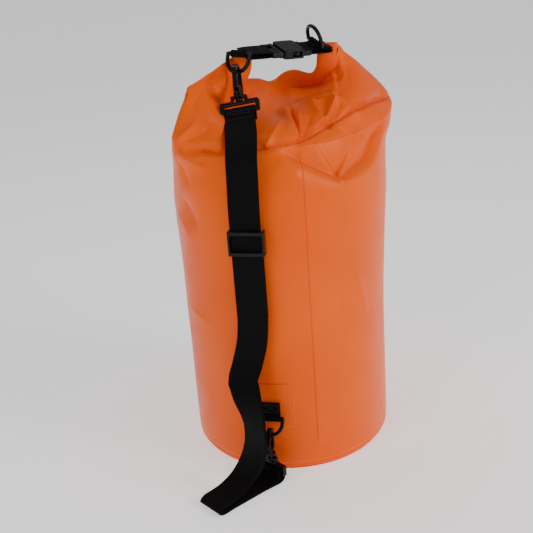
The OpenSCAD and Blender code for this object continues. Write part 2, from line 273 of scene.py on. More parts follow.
def webbing_material(name, pitch_across, pitch_along):
    """Woven polypropylene: warp ribs along the strap, crossed by picks that step from rib to rib."""
    mat, tree, shader = new_material(name)
    uv = tree.nodes.new("ShaderNodeUVMap")
    uv.uv_map = "UVMap"
    split = tree.nodes.new("ShaderNodeSeparateXYZ")
    tree.links.new(uv.outputs[0], split.inputs[0])

    def times(a, b):
        return maths(tree, "MULTIPLY", a, b)

    def plus(a, b):
        return maths(tree, "ADD", a, b)

    turn = 2 * math.pi * UV_MM
    across = times(split.outputs[0], turn / pitch_across)
    along = times(split.outputs[1], turn / pitch_along)
    rib = maths(tree, "SINE", across)
    pick = maths(tree, "SINE", plus(along, times(across, 0.5)))
    weave = plus(times(rib, pick), times(maths(tree, "ABSOLUTE", rib), 0.8))
    coords = tree.nodes.new("ShaderNodeTexCoord").outputs["Object"]
    fuzz = noise_tex(tree, coords, scale=900, detail=3, rough=0.7)
    broad = noise_tex(tree, coords, scale=30, detail=3)
    # The weave's relief is painted into the colour too: painted shade between the ribs and picks, and painted
    # highlight on their crests. The fuzz and broad noise add random tone.
    level = plus(times(weave, 0.25), plus(times(fuzz, 0.3), times(broad, 0.3)))
    tree.links.new(ramp(tree, level, (0.1, grey(0.0004)), (0.75, grey(0.004, 1.03))), shader["Base Color"])
    normal = bump(tree, weave, strength=0.55, distance=0.0004)
    normal = bump(tree, fuzz, strength=0.25, distance=0.0002, normal=normal)
    tree.links.new(normal, shader["Normal"])
    shader["Roughness"].default_value = 0.72
    shader["Specular IOR Level"].default_value = 0.1
    shader["Sheen Weight"].default_value = 0.01
    shader["Sheen Roughness"].default_value = 0.45
    return mat


def moulded_plastic(name, tone, rough, blue=1.0):
    """Black acetal: satin skin with a faint mould texture and rubbed spots."""
    mat, tree, shader = new_material(name)
    coords = tree.nodes.new("ShaderNodeTexCoord").outputs["Object"]
    grain = noise_tex(tree, coords, scale=1500, detail=2)
    rub = noise_tex(tree, coords, scale=70, detail=5, rough=0.65)
    rubbed = (tone * 2.2, tone * 2.25, tone * 2.3 * blue, 1)
    tree.links.new(ramp(tree, rub, (0.35, grey(tone, blue)), (0.75, rubbed)), shader["Base Color"])
    tree.links.new(ramp(tree, rub, (0.3, grey(rough)), (0.8, grey(rough + 0.16))), shader["Roughness"])
    normal = bump(tree, grain, strength=0.12, distance=0.0001)
    normal = bump(tree, rub, strength=0.08, distance=0.0008, normal=normal)
    tree.links.new(normal, shader["Normal"])
    shader["Specular IOR Level"].default_value = 0.2
    return mat


def thread_material(name):
    """Bonded black thread with its twist."""
    mat, tree, shader = new_material(name)
    coords = tree.nodes.new("ShaderNodeTexCoord").outputs["Object"]
    twist = noise_tex(tree, coords, scale=2600, detail=2, rough=0.6)
    pale = (0.045, 0.045, 0.047, 1)
    tree.links.new(ramp(tree, twist, (0.3, grey(0.006)), (0.8, pale)), shader["Base Color"])
    tree.links.new(bump(tree, twist, strength=0.4, distance=0.0002), shader["Normal"])
    shader["Roughness"].default_value = 0.55
    return mat


ORANGE = coated_fabric("orange_pvc", (0.94, 0.115, 0.001, 1), (0.88, 0.095, 0.0005, 1), 0.36)
STRAP = webbing_material("strap_webbing", 1.9, 1.25)
NARROW = webbing_material("closure_webbing", 1.6, 1.1)
THREAD = thread_material("bonded_thread")
BUCKLE = moulded_plastic("buckle_plastic", 0.0018, 0.22)
HOOK = moulded_plastic("hook_plastic", 0.0025, 0.2, 1.12)
RING = moulded_plastic("ring_plastic", 0.0018, 0.2)


# ---------- the bag's fabric ----------

# The roll's middle line, from the buckle's plug end down and round the back to its socket end, in mm:
# x, y, z and the direction of its width, which points to the edge where the bag's fabric comes in.
ROLL = [
    [-40, 1, 525, -0.95, 0.2, 0.1], [-40, 3, 511, -0.95, 0.1, 0], [-39, 9, 496, -0.9, -0.1, -0.3],
    [-34, 22, 483, -0.8, -0.3, -0.5], [-20, 38, 477, -0.45, -0.65, -0.6], [0, 48, 475, -0.1, -0.75, -0.65],
    [18, 51, 472, 0, -0.75, -0.65], [34, 51, 466, 0, -0.75, -0.65], [47, 49, 468, 0.1, -0.75, -0.65],
    [58, 42, 475, 0.3, -0.65, -0.7], [70, 26, 476, 0.6, -0.5, -0.6], [78, 6, 479, 0.8, -0.45, -0.4],
    [80, -8, 492, 0.85, -0.5, -0.1], [79, -14, 508, 0.85, -0.5, 0], [79, -16, 526, 0.85, -0.5, 0.05],
]
ROLL_WIDTH = 27

# The tube: height, half width, half depth, centre x, centre y and how far its sides rise.
TUBE = [
    [1.4, 121, 121, 0, 0, 0], [1.5, 128, 128, 0, 0, 0], [3.5, 133, 133, 0, 0, 0],
    [6.5, 134.6, 134.6, 0, 0, 0], [8.5, 133.4, 133.4, 0, 0, 0], [10.5, 134.9, 134.9, 0, 0, 0],
    [20, 135.2, 135.2, 0, 0, 0], [60, 135.4, 135.2, 0, 0, 0], [120, 135, 135, 0, 0, 0],
    [190, 135, 135, 0, 0, 0], [250, 136, 135, 1, 0, 0], [295, 138, 134, 2, 0, 0],
    [330, 141, 132, 3, 0, 0], [356, 144, 128, 4, -1, 0], [380, 147, 123, 5, -2, 0],
    [400, 153, 115.5, 9, -2, 4], [415, 162, 108, 15, -3, 9], [428, 166, 101, 19, -3, 15],
]

# Where the fabric of the shoulders goes in the roll: share of the front's columns, degrees round the
# shoulders and share of the roll. The front's cloth gathers to one point of the shoulder fold.
GATHER = [
    [0, 180, 0], [0.16, 212, 0.14], [0.30, 234, 0.30], [0.48, 249, 0.58], [0.66, 258, 0.80],
    [0.80, 292, 0.89], [1, 360, 1],
]
GATHER_SPAN = 14

# Columns of the surface at the front and at the back, rows of the tube and of the neck
FRONT, BACK = 330, 170
TUBE_ROWS, NECK_ROWS = 170, 90
# Heights between which the tube's section grows pointed at its ends
PINCH_FROM, PINCH_TO = 330, 428
# How far inside the roll's edge the bag's cloth goes in
EDGE_INSET = 2
# The left end's knee between the shoulder and the roll, and its share of the way up
KNEE = [-113, 14, 496]
KNEE_AT = 0.58
# How many rows above the shoulders the taut cloth starts, and how often it is evened out
TAUT_ABOVE, TAUT_PASSES = 8, 160


def soften(values, span):
    """Smooths the kinks of a rising line, keeping its ends."""
    before = 2 * values[0] - values[span:0:-1]
    after = 2 * values[-1] - values[-2:-span - 2:-1]
    weights = np.hanning(2 * span + 1)
    return np.convolve(np.concatenate([before, values, after]), weights / weights.sum(), "valid")


def columns_round():
    """For each column: its angle round the shoulders and the share of the roll that its cloth runs to."""
    f = np.linspace(0, 1, FRONT, endpoint=False)
    at, degrees, share = np.array(GATHER, float).T
    round_front = soften(np.interp(f, at, degrees), GATHER_SPAN)
    share_front = soften(np.interp(f, at, share), GATHER_SPAN)
    degrees = np.concatenate([round_front, 360 + 180 * np.arange(BACK) / BACK])
    share = np.concatenate([share_front, 1 - np.arange(BACK) / BACK])
    return np.radians(degrees), np.clip(share, 0, 1)


def tube_surface(c, s):
    """Rows of the tube from the floor to the shoulders, evenly spaced along its height."""
    rows = smooth_rows(TUBE, 12)
    length = distances(rows[:, [0, 2]])
    even = np.linspace(0, length[-1], TUBE_ROWS)
    height, wide, deep, mid_x, mid_y, rise = (np.interp(even, length, rows[:, k])[:, None] for k in range(6))
    pinch = 0.5 * np.clip((height - PINCH_FROM) / (PINCH_TO - PINCH_FROM), 0, 1) ** 2
    return np.stack([
        mid_x + wide * c, mid_y + deep * s * np.abs(s) ** pinch, height + rise * np.abs(c) ** 5], axis=2)


def roll_edge(share):
    """Where the cloth goes in the roll, at each share of the way along it."""
    at, side, _ = strip_frames(smooth_rows(ROLL, 16))
    along = distances(at)
    along /= along[-1]
    edge = at + side * (ROLL_WIDTH / 2 - EDGE_INSET)
    return np.array([np.interp(share, along, edge[:, k]) for k in range(3)]).T


def neck_surface(tube, ring, c, front):
    """Rows from the shoulders to the roll: soft curves that break, at the left end, over the knee."""
    base = tube[-1]
    grow = unit(tube[-1] - tube[-2])
    ends = np.abs(c)[:, None] ** 2
    left = np.clip(-c, 0, 1)[:, None] ** 3
    mid_front = front * (1 - ends)
    mid_back = (1 - front) * (1 - ends)
    span = np.linalg.norm(ring - base, axis=1, keepdims=True)
    lead = grow * span * (0.04 + 0.02 * ends + 0.06 * left + 0.3 * mid_back)
    lift = np.array([0, 0, 1.0]) * (16 * mid_front + 2)
    lift_back = mid_back * np.array([0, 30.0, 12.0])
    lift_left = left * np.array([-22.0, 0, 16])
    arrive = ring - 0.34 * (ring - base) + lift + lift_back + lift_left
    knee = np.array(KNEE) + (base - base[int(np.argmin(base[:, 0]))]) * [0.6, 0.45, 0.6]
    rows = []
    for i in range(1, NECK_ROWS + 1):
        t = i / NECK_ROWS
        soft = ((1 - t) ** 3 * base + 3 * (1 - t) ** 2 * t * (base + lead)
                + 3 * (1 - t) * t * t * arrive + t ** 3 * ring)
        below = min(t / KNEE_AT, 1)
        above = max((t - KNEE_AT) / (1 - KNEE_AT), 0)
        bent = base + (knee - base) * below + (ring - knee) * above
        rows.append(soft + (bent - soft) * np.clip(left ** 2 * 1.5, 0, 1) * 0.85)
    return np.array(rows)


def draw_taut(points, first, c, front):
    """Evens out the cloth in front of the left end, from a first row up to the roll."""
    share = front[:, 0] * np.clip((-c - 0.2) / 0.3, 0, 1) * np.clip((0.985 + c) / 0.06, 0, 1)
    share = 0.5 * share[None, :, None]
    for _ in range(TAUT_PASSES):
        beside = (np.roll(points, 1, 1) + np.roll(points, -1, 1))[first:-1]
        mean = (beside + points[first - 1:-2] + points[first + 1:]) / 4
        points[first:-1] += share * (mean - points[first:-1])


def fabric_surface():
    """Points of the bag's fabric by row and column, in mm, and the row number where the shoulders start."""
    turn, share = columns_round()
    c, s = np.cos(turn), np.sin(turn)
    front = (s <= 0).astype(float)[:, None]
    tube = tube_surface(c, s)
    points = np.concatenate([tube, neck_surface(tube, roll_edge(share), c, front)])
    draw_taut(points, len(tube) + TAUT_ABOVE, c, front)
    return points, len(tube) - 1


# The folds are drawn as seen from the front left and from above: these are that view's directions.
FOLDS_LEFT, FOLDS_ABOVE = -32, -22
LOOK = (Matrix.Rotation(math.radians(FOLDS_LEFT), 3, "Z")
        @ Matrix.Rotation(math.radians(FOLDS_ABOVE), 3, "X"))
ACROSS, OUT, ALOFT = (np.array(LOOK.col[k]) for k in range(3))


def near_line(line, h, v):
    """Signed distance in mm from a line of places across and aloft, and the share of the way along it."""
    pts = np.array(line, float)
    seg = np.linalg.norm(np.diff(pts, axis=0), axis=1)
    best = np.full(h.shape, np.inf)
    sign = np.zeros(h.shape)
    where = np.zeros(h.shape)
    done = 0.0
    for (ax, ay), (bx, by), size in zip(pts[:-1], pts[1:], seg):
        ux, uy = (bx - ax) / size, (by - ay) / size
        t = np.clip((h - ax) * ux + (v - ay) * uy, 0, size)
        dx, dy = h - ax - ux * t, v - ay - uy * t
        d = np.hypot(dx, dy)
        closer = d < best
        best = np.where(closer, d, best)
        sign = np.where(closer, np.sign(ux * dy - uy * dx), sign)
        where = np.where(closer, (done + t) / seg.sum(), where)
        done += size
    return best * sign, where


def taper(where, start, end):
    """Rises from 0 over the start share of a line and falls to 0 again over the end share."""
    a = np.clip(where / max(start, 1e-6), 0, 1)
    b = np.clip((1 - where) / max(end, 1e-6), 0, 1)
    return (a * a * (3 - 2 * a)) * (b * b * (3 - 2 * b))


def fold(height, line, left, right, h, v, start, end):
    """A sharp-crested fold: height at the line, fading over left mm on its left and right mm on its right."""
    d, where = near_line(line, h, v)
    reach = np.where(d > 0, left, right)
    return height * np.exp(-np.abs(d) / reach) * taper(where, start, end)


def lap(height, line, soft, reach, h, v, start, end):
    """A layer over the next: raised on the line's left for reach mm, its drop on the right soft mm wide."""
    d, where = near_line(line, h, v)
    high = np.where(d > 0, np.exp(-(d / reach) ** 2), np.exp(-(d / soft) ** 2))
    return height * high * taper(where, start, end)


# Places on the bag's front, in mm across and aloft
CORNER_LEFT = (-125, 370)
CREASE_LEFT = (-115, 365)
LAP_FOOT = (-65, 360)
CREASE_LOW = (-15, 360)
GATHERED = (30, 370)
SHOULDER_RIGHT = (165, 440)
TUCK_FOOT = (60, 390)
LEG_FOOT = (80, 425)
DENT_TIP = (75, 320)
DENT_BEND = (110, 345)
WAIST_LEFT = (-125, 320)
SEAM_TOP = (28, 355)
SEAM_LENGTH = 370
CREASE = [CREASE_LEFT, LAP_FOOT, CREASE_LOW, GATHERED, SHOULDER_RIGHT]
TUCK_EDGE = [LEG_FOOT, TUCK_FOOT]
DENT_TOP = (140, 400)
DENT_EDGE = [DENT_TIP, DENT_BEND, DENT_TOP]
ROLL_FOOT = [(-40, 445), (10, 450), (50, 465), (85, 470)]


def ray(place, degrees, start, end=0):
    """A straight line at an angle from a place, drawn from one distance from it to another."""
    a = math.radians(degrees)
    return [(place[0] + r * math.cos(a), place[1] + r * math.sin(a)) for r in (start, end)]


def shifted(line, across, aloft):
    """The same line moved across and aloft."""
    return [(h + across, v + aloft) for h, v in line]


# Sharp folds: height, line, reach on its left and right, tapers at its ends. A height below 0 is a valley.
FOLDS = [
    # the shoulder crease and its rim
    (-8, CREASE, 5, 2.2, (0.1, 0.06)),
    (3, shifted(CREASE, 0, -6), 3.5, 11, (0.1, 0.05)),
    # pleats that meet at the gathered point
    (-3, ray(GATHERED, 120, 80, 30), 3, 8, (0.5, 0.3)),
    (7, ray(GATHERED, 110, 55), 2.5, 11, (0.3, 0.05)),
    (-7, ray(GATHERED, 100, 55), 4, 4, (0.3, 0.05)),
    (4, ray(GATHERED, 90, 45), 3.5, 6, (0.3, 0.1)),
    (-5, ray(GATHERED, 65, 35), 8, 8, (0.3, 0.1)),
    (4, ray(CREASE_LOW, 55, 45), 4, 7, (0.3, 0.1)),
    # the tuck under the handle's right leg
    (7, ray(TUCK_FOOT, 110, 45), 3.5, 12, (0.1, 0.1)),
    (8, TUCK_EDGE, 11, 2.5, (0.1, 0.1)),
    (-5, shifted(TUCK_EDGE, 4, -10), 4, 7, (0.1, 0.1)),
    (4, ray(LEG_FOOT, 190, 35), 6, 4, (0.2, 0.1)),
    (5, ray(LEG_FOOT, -50, 0, 45), 5, 12, (0.05, 0.4)),
    # the cloth's rise to the roll
    (6, ROLL_FOOT, 10, 6, (0.1, 0.1)),
    # the V-shaped dent below the crease
    (-9, ray(DENT_TIP, 155, 85), 24, 4, (0.3, 0.03)),
    (-9, DENT_EDGE, 24, 4, (0.03, 0.3)),
    (3, shifted(DENT_EDGE, 4, -9), 6, 12, (0.1, 0.4)),
    # creases that fan out from both shoulder corners
    (-4, ray(CORNER_LEFT, 60, 40, 90), 10, 10, (0.4, 0.4)),
    (6, ray(CORNER_LEFT, 40, 10, 55), 4, 10, (0.2, 0.5)),
    (-4, ray(CORNER_LEFT, 20, 10, 55), 6, 8, (0.3, 0.4)),
    (5.5, ray(CORNER_LEFT, -35, 5, 60), 4, 10, (0.25, 0.5)),
    (-4, ray(CORNER_LEFT, -70, 10, 55), 6, 9, (0.3, 0.5)),
    (-4, ray(SHOULDER_RIGHT, 200, 10, 80), 8, 12, (0.1, 0.4)),
    # broad dents in the tube
    (-5, ray(WAIST_LEFT, -65, 0, 55), 8, 12, (0.3, 0.4)),
    (3, shifted(ray(WAIST_LEFT, -65, 0, 55), -8, -15), 6, 10, (0.3, 0.4)),
    (3, ray(CREASE_LOW, -45, 15, 65), 10, 10, (0.3, 0.4)),
    (2.5, ray((-135, 185), -45, 0, 55), 7, 9, (0.4, 0.4)),
    (-3, ray((65, 235), -90, 0, 125), 26, 26, (0.5, 0.5)),
    (2, ray((85, 220), -75, 0, 75), 5, 9, (0.4, 0.4)),
]
# Layers lying over the next: height, line, width of the drop, reach, tapers at the line's ends.
LAPS = [
    # the tube's welded seam
    (0.9, ray(SEAM_TOP, -90, 0, SEAM_LENGTH), 0.35, 9, (0.01, 0.01)),
    # the folded cloth at the left end and the edge of each leg
    (6, ray(LAP_FOOT, 85, 0, 50), 2.2, 18, (0.02, 0.4)),
    (2.5, ray(LAP_FOOT, 85, 80, 110), 2, 10, (0.1, 0.05)),
    (5, ray(LEG_FOOT, 85, 0, 70), 1.5, 12, (0.05, 0.05)),
]


def normals_of(points):
    """Outward normals of the surface, whose rows are closed rings."""
    across = np.roll(points, -1, 1) - np.roll(points, 1, 1)
    return unit(np.cross(across, np.gradient(points, axis=0)))


def relief(points):
    """Moves the surface along its normals by the folds and laps, on the side that they are seen from."""
    normal = normals_of(points)
    h, v = points @ ACROSS, points @ ALOFT
    facing = np.clip(-(normal @ OUT) / 0.25 + 0.2, 0, 1)
    out = np.zeros(h.shape)
    for height, line, left, right, ends in FOLDS:
        out += fold(height, line, left, right, h, v, *ends)
    for height, line, soft, reach, ends in LAPS:
        out += lap(height, line, soft, reach, h, v, *ends)
    return points + normal * (out * facing)[..., None]


# The cloth net: every third row and column is taken. It is held at the base and over the last rows below
# the roll, is free above FREE_FROM, and is cut ever fuller from FULL_FROM up to FULL_TO.
NET_STEP = 3
HELD_TO, FREE_FROM = 60, 180
HELD_ROWS = 5
FULL_FROM, FULL_TO = 330, 420
# Heights between which its movement sets in, and the most that a point moves
MOVE_FROM, MOVE_TO = 170, 300
MOST_MOVE = 9
SETTLE_FRAMES = 22


def cloth_moved(net, hold, full):
    """How far each point of a net moves as cloth, lightly filled. Hold and full are given by row."""
    n, m = net.shape[:2]
    piece = mesh_piece("cloth_net", net.reshape(-1, 3) * MM, grid_faces(n, m), ORANGE, "root")
    for name, weights in (("hold", hold), ("full", full)):
        group = piece.vertex_groups.new(name=name)
        for i in range(n):
            group.add(list(range(i * m, (i + 1) * m)), float(weights[i]), "REPLACE")
    cloth = piece.modifiers.new("cloth", "CLOTH")
    own = cloth.settings
    own.quality = 6
    own.mass = 0.3
    own.tension_stiffness = own.compression_stiffness = 25
    own.shear_stiffness = 10
    own.bending_stiffness = 2.5
    own.air_damping = 2
    own.vertex_group_mass = "hold"
    own.vertex_group_shrink = "full"
    own.shrink_min = -0.004
    own.shrink_max = -0.03
    own.use_pressure = True
    own.uniform_pressure_force = 1.2
    own.effector_weights.gravity = 0
    cloth.collision_settings.use_collision = False
    cloth.point_cache.frame_start = 1
    cloth.point_cache.frame_end = SETTLE_FRAMES
    for number in range(1, SETTLE_FRAMES + 1):
        scene.frame_set(number)
    mesh = bpy.data.meshes.new_from_object(piece.evaluated_get(bpy.context.evaluated_depsgraph_get()))
    after = np.array([v.co for v in mesh.vertices]).reshape(net.shape) / MM
    bpy.data.meshes.remove(mesh)
    bpy.data.objects.remove(piece)
    scene.frame_set(1)
    return after - net


def spread(move, pick, cols, rows, columns):
    """A movement of the net's rows and columns, blended over all rows and columns of the surface."""
    tall = np.array([[np.interp(np.arange(rows), pick, move[:, k, a]) for a in range(3)]
                     for k in range(len(cols))])
    wide = np.zeros((rows, columns, 3))
    at = np.arange(columns)
    for a in range(3):
        for i in range(rows):
            wide[i, :, a] = np.interp(at, np.append(cols, columns), np.append(tall[:, a, i], tall[0, a, i]))
    for _ in range(3):
        wide = (wide + np.roll(wide, 1, 1) + np.roll(wide, -1, 1)) / 3
        wide[1:-1] = (wide[:-2] + wide[1:-1] + wide[2:]) / 3
    return wide


def settled(points, first):
    """The surface after its cloth has settled. A coarser net of it settles, and its movement is then given
    to every point. From the first row of the shoulders up, all rows but the last ones are free."""
    rows, columns = points.shape[:2]
    pick = np.unique(np.round(np.linspace(0, rows - 1, rows // NET_STEP)).astype(int))
    cols = np.arange(0, columns, NET_STEP)
    net = points[pick][:, cols]
    z = np.where(pick < first, net[:, 0, 2], np.inf)
    free = np.clip((z - HELD_TO) / (FREE_FROM - HELD_TO), 0, 1)
    free *= np.clip((len(pick) - 1 - np.arange(len(pick))) / HELD_ROWS, 0, 1)
    full = np.clip((z - FULL_FROM) / (FULL_TO - FULL_FROM), 0, 1)
    move = cloth_moved(net, 1 - free, full)
    size = np.linalg.norm(move, axis=2, keepdims=True)
    move *= np.minimum(1, MOST_MOVE / np.maximum(size, 1e-9))
    move *= np.clip((net[..., 2:] - MOVE_FROM) / (MOVE_TO - MOVE_FROM), 0, 1)
    return points + spread(move, pick, cols, rows, columns)


def make_bag():
    surface, shoulder_row = fabric_surface()
    grid = relief(settled(surface, shoulder_row))
    rows, columns = grid.shape[:2]
    piece = mesh_piece("bag_fabric", grid.reshape(-1, 3) * MM, grid_faces(rows, columns), ORANGE, "root")
    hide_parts("bag_shell")


def make_base():
    """The round base, lying inside the tube's turned-in edge, its middle a little slack."""
    slack, slack_radius, n = 0.5, 120, 120
    low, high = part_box("base_disc")
    levels = (low[2] / MM, high[2] / MM)
    reach = (40, 80, 112, 126, (high[0] - low[0]) / 2 / MM)
    verts = [(0, 0, z + slack) for z in levels]
    for r in reach:
        for z in levels:
            lift = z + slack * max(0, 1 - r / slack_radius)
            turns = np.linspace(0, 2 * math.pi, n, endpoint=False)
            verts += [(r * math.cos(a), r * math.sin(a), lift) for a in turns]
    faces = []
    for k in range(n):
        j = (k + 1) % n
        faces += [(0, 2 + j, 2 + k), (1, 2 + n + k, 2 + n + j)]
        for i in range(len(reach) - 1):
            a, b = 2 + 2 * n * i, 2 + 2 * n * (i + 1)
            faces += [(a + k, a + j, b + j, b + k), (a + n + k, b + n + k, b + n + j, a + n + j)]
        a = 2 + 2 * n * (len(reach) - 1)
        faces.append((a + k, a + j, a + n + j, a + n + k))
    piece = mesh_piece("base_fabric", np.array(verts) * MM, faces, ORANGE, "root")
    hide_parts("base_disc")


def roll_section():
    """A flat spiral of three turns of fabric, as a closed outline."""
    turns, steps = 3, 26
    pitch, cloth, half_thick = 1.35, 0.95, 5.2
    outer, inner = [], []
    for i in range(turns * steps + 1):
        a = 2 * math.pi * i / steps + math.pi
        c = math.copysign(abs(math.cos(a)) ** 0.7, math.cos(a))
        s = math.copysign(abs(math.sin(a)) ** 0.8, math.sin(a))
        deep = pitch * i / steps
        for line, cut in ((outer, 0), (inner, cloth)):
            line.append(((ROLL_WIDTH / 2 - deep - cut) * c, (half_thick - deep - cut) * s))
    return outer + inner[::-1]


def make_roll():
    """The rolled mouth and the stiffening strip inside it."""
    half_wide, half_thick = 9, 0.5
    rows = smooth_rows(ROLL, 9)
    piece = sweep("rolled_mouth_fabric", rows, roll_section(), ORANGE, "root")
    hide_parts("rolled_mouth")
    flat = [(-half_wide, -half_thick), (half_wide, -half_thick),
            (half_wide, half_thick), (-half_wide, half_thick)]
    strip = sweep("stiffener", rows[1:-1], flat, HOOK, "root")
    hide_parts("stiffener_strip")


make_bag()
make_base()
make_roll()


# ---------- shoulder strap, in its own frame: x across, -y outwards ----------

def rot(p, axis, degrees):
    """A point or direction turned about an axis."""
    return np.array(Matrix.Rotation(math.radians(degrees), 3, axis) @ Vector(p))


STRAP_TURN = -45
RING_DROP, BOW_TO_SLOT = 22, 44
# The ring at the closure: the middle of its bar, its turn about z and how far it swings out
RING_BAR = np.array([-52.0, -13, 531])
RING_TURN, RING_SWING = -66, 20
# The ring low on the bag, in the strap's frame
LOWER_BAR = np.array([0.0, -142, 84])
LOWER_SWING, LOWER_EYE_TURN = 35, -35
# How far the upper hook leans out from the bag and to its side
LEAN_OUT, LEAN_ASIDE = -30, -9


def bow_below(swing):
    """From the middle of a ring's bar to the middle of its bow."""
    a = math.radians(swing)
    return np.array([0, -RING_DROP * math.sin(a), -RING_DROP * math.cos(a)])


def leaned(p):
    """A point or direction of the upper hook's frame in the strap's frame."""
    return rot(rot(p, "X", LEAN_OUT), "Y", LEAN_ASIDE)


RING_BOW = RING_BAR + rot(bow_below(RING_SWING), "Z", RING_TURN)
UPPER_SLOT = rot(RING_BOW, "Z", -STRAP_TURN) + leaned([0, 0, -BOW_TO_SLOT])
LOWER_SLOT = LOWER_BAR + bow_below(LOWER_SWING) - [0, 0, BOW_TO_SLOT]


def upper_row(y, z):
    """A row of the strap at the upper eye, from its place in the eye's frame."""
    return [*(UPPER_SLOT + leaned([0, y, z])), *leaned([1, 0, 0])]


def lower_row(y, z):
    """A row of the strap at the lower eye, from its place in the eye's frame."""
    return [*(LOWER_SLOT + rot([0, y, z], "Z", LOWER_EYE_TURN)), *rot([1, 0, 0], "Z", LOWER_EYE_TURN)]


# The outer run between the two eyes: over the shoulder, through the slider, down to a fold on the floor
# and back. Each row is x, y, z and the direction of the width.
HANGING = [
    [-22.5, -89, 461, 1, 0, 0.1], [-18, -105.5, 453, 1, 0, 0], [-14, -124.8, 441.5, 1, 0, 0],
    [-12.5, -137.2, 424, 1, 0, 0], [-12, -142, 400, 1, 0, 0], [-12, -145.6, 374, 1, 0, 0],
    [-12, -147, 352, 1, 0, 0], [-12, -147, 340, 1, 0, 0], [-12, -147, 240, 1, 0, 0],
    [-12, -147, 225, 1, 0, 0], [-15, -147.5, 196, 1, 0, 0], [-22, -150.5, 168, 1, 0, 0.05],
    [-28.3, -156.5, 149, 1, -0.08, 0.12], [-28, -159, 145, 1, -0.1, 0.15],
    [-21, -171.5, 129, 0.94, -0.3, 0.1], [-15, -179.5, 112, 0.85, -0.5, 0.05],
    [-12, -184, 95, 0.81, -0.58, 0], [-13, -184, 68, 0.81, -0.58, 0], [-20, -184, 45, 0.81, -0.58, 0],
    [-32, -190, 26, 0.81, -0.58, 0.1], [-44, -202, 15.5, 0.81, -0.58, 0.05],
    [-54, -215.5, 12.6, 0.81, -0.58, 0], [-61, -225, 11.9, 0.81, -0.58, 0],
    [-65, -230.5, 6.6, 0.81, -0.58, 0], [-61, -225, 1.4, 0.81, -0.58, 0], [-50, -210, 1.2, 0.81, -0.58, 0],
    [-34, -190, 1.2, 0.81, -0.58, 0], [-18, -170, 1.3, 0.81, -0.58, 0], [-3, -155.5, 3.6, 0.81, -0.58, 0],
]
STRAP_WIDTH, STRAP_THICK, STRAP_STEPS = 38, 1.5, 8
# Distance between the middles of the two runs, and the row of HANGING where the inner one starts
RUN_GAP, INNER_START = 2.6, 8
# The slider's centre in the strap's frame, and the sewn end: towards the bag and up from that centre
SLIDER = np.array([-12, -147, 326])
SEWN_END = [(2.9, -24), (2.8, -14), (2.5, -5), (2.3, -1), (3.2, 1.9), (5, 2.7), (6.8, 1.9), (7.6, -0.5),
            (7, -4), (5.5, -12), (5.2, -20), (5.2, -60), (5.2, -100)]
# The strap round the upper and the lower eye's bar: towards the bag and up, in the eye's own frame
UPPER_WRAP = [(4.9, -17), (4.6, -12), (4.2, -6.5), (4, -3), (2.9, -1.5), (0.3, -1.4),
              (-2.9, -1.5), (-4, -3), (-4.2, -6.5)]
LOWER_WRAP = UPPER_WRAP[1:6]
# The inner run's lowest row, and the rows round the lower eye's bar where it ends
INNER_LOW = [-12, -168, 5.6, 0.81, -0.58, 0]
INNER_WRAP = [(-5.4, -11), (-4.2, -6.5), (-4, -3), (-2.9, -1.5), (-0.9, -1.4)]


def length_of(rows):
    """Length along rows, in metres."""
    return float(np.linalg.norm(np.diff(rows[:, :3], axis=0), axis=1).sum()) * MM


def outer_run():
    """Rows of the outer run, in the strap's frame."""
    first = [upper_row(y, z) for y, z in UPPER_WRAP]
    last = [lower_row(y, z) for y, z in LOWER_WRAP]
    return smooth_rows(first + HANGING + last, STRAP_STEPS)


def inner_run(outer):
    """Rows of the inner run, in the strap's frame: behind the outer one and then up to the lower eye."""
    start = (len(UPPER_WRAP) + INNER_START) * STRAP_STEPS
    stop = (len(UPPER_WRAP) + len(HANGING) - 3) * STRAP_STEPS
    at, _, up = strip_frames(outer)
    lined = np.hstack([at - up * RUN_GAP, outer[:, 3:6]])[start:stop]
    end = smooth_rows([INNER_LOW] + [lower_row(y, z) for y, z in INNER_WRAP], STRAP_STEPS)
    return np.vstack([lined, end])


def sewn_end():
    """Rows of the sewn end: front flap, loop over the slider's middle bar, tail behind."""
    return smooth_rows([[*(SLIDER + [0, y, z]), 1, 0, 0] for y, z in SEWN_END], STRAP_STEPS)


OUTER_ROWS = turn_rows(outer_run(), STRAP_TURN)
INNER_ROWS = turn_rows(inner_run(outer_run()), STRAP_TURN)
SEWN_ROWS = turn_rows(sewn_end(), STRAP_TURN)


def make_strap():
    """The two runs, and the sewn end, which rides with the slider."""
    section = strap_section(STRAP_WIDTH, STRAP_THICK)
    outer = sweep("strap_outer_run", OUTER_ROWS, section, STRAP, "root")
    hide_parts("webbing_outer_run")
    inner = sweep("strap_inner_run", INNER_ROWS, section, STRAP, "root")
    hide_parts("webbing_inner_run")
    tail = sweep("strap_sewn_end", SEWN_ROWS, section, STRAP, "slider")
    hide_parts("webbing_sewn_end")


def place_on(rows, s, across, lift):
    """A point on a strip: s mm along its rows, across mm from its middle, lift mm off its face."""
    at, side, up = strip_frames(rows)
    along = distances(at)
    middle, wide, out = (np.array([np.interp(s, along, v[:, k]) for k in range(3)]) for v in (at, side, up))
    return middle + wide * across + out * lift


STITCH, STITCH_GAP = 2.4, 0.7
# A stitch's thickness along its length, as shares of its length and of its radius
STITCH_SHAPE = ((0, 0.35), (0.15, 0.85), (0.5, 1), (0.85, 0.85), (1, 0.35))
STITCH_SIDES = 6
# A direction that no line of stitches runs in, to start a stitch's sides from
STITCH_ASIDE = [0.31, 0.2, 0.93]


